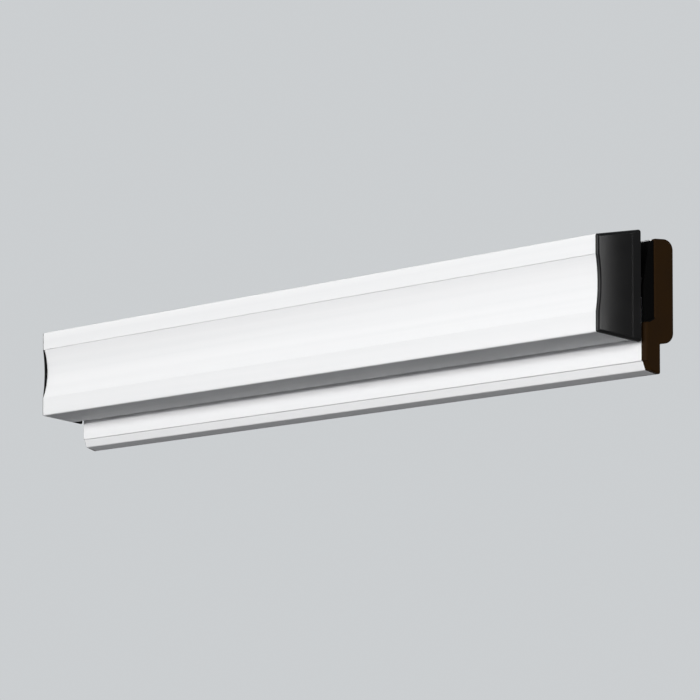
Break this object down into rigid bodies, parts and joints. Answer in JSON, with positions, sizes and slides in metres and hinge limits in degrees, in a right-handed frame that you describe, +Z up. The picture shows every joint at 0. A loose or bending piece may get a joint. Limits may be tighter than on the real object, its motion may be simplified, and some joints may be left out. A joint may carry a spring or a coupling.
{
  "type": "document hanging rail",
  "caption": "Wall rail for hanging sheets: a sprung, coved front bar rocks on a rod and grips them against the jaw of a magnetic back profile, with black end caps.",
  "frame": {"origin": "middle of the face of the pads that rests on the carrying surface", "axes": "+X along the rail to the right as seen from the front, +Y into the carrying surface, +Z up"},
  "size_m": [0.333, 0.025, 0.0398],
  "materials": {
    "aluminium": "satin, clear anodised extrusion",
    "cap_plastic": "fine spark texture",
    "bracket_plastic": "moulded, satin",
    "rod_steel": "ground bright",
    "rivet_steel": "zinc plated",
    "spring_steel": "tempered strip",
    "yoke_steel": "zinc plated sheet",
    "ferrite": "sintered, matt",
    "rubber": "matt",
    "pad_rubber": "fine cellular, matt"
  },
  "bodies": {
    "back": {"back_profile": "aluminium", "back_cap_left": "cap_plastic", "back_cap_right": "cap_plastic", "hinge_rod": "rod_steel", "hinge_bracket_1": "bracket_plastic", "hinge_bracket_2": "bracket_plastic", "hinge_bracket_3": "bracket_plastic", "hinge_bracket_4": "bracket_plastic", "bracket_rivets": "rivet_steel", "leaf_spring_left": "spring_steel", "leaf_spring_right": "spring_steel", "spring_rivets": "rivet_steel", "opening_stop_left": "rubber", "opening_stop_right": "rubber", "magnet_1": "ferrite", "magnet_2": "ferrite", "magnet_3": "ferrite", "magnet_4": "ferrite", "magnet_5": "ferrite", "magnet_yoke_1": "yoke_steel", "magnet_yoke_2": "yoke_steel", "magnet_yoke_3": "yoke_steel", "magnet_yoke_4": "yoke_steel", "magnet_yoke_5": "yoke_steel", "magnet_pad_1": "pad_rubber", "magnet_pad_2": "pad_rubber", "magnet_pad_3": "pad_rubber", "magnet_pad_4": "pad_rubber", "magnet_pad_5": "pad_rubber"},
    "clamp_bar": {"front_bar": "aluminium", "front_cap_left": "cap_plastic", "front_cap_right": "cap_plastic", "knuckle_plug_left": "cap_plastic", "knuckle_plug_right": "cap_plastic", "grip_strip": "rubber"}
  },
  "joints": [
    {"name": "bar_pivot", "type": "hinge", "parent": "back", "child": "clamp_bar", "pos_m": [0, -0.0095, 0.001], "axis": [-1, 0, 0], "range_deg": [0, 12], "stiffness_Nm_per_rad": 0.5, "springref_deg": -20.05, "deforming": ["leaf_spring_left", "leaf_spring_right"]}
  ]
}
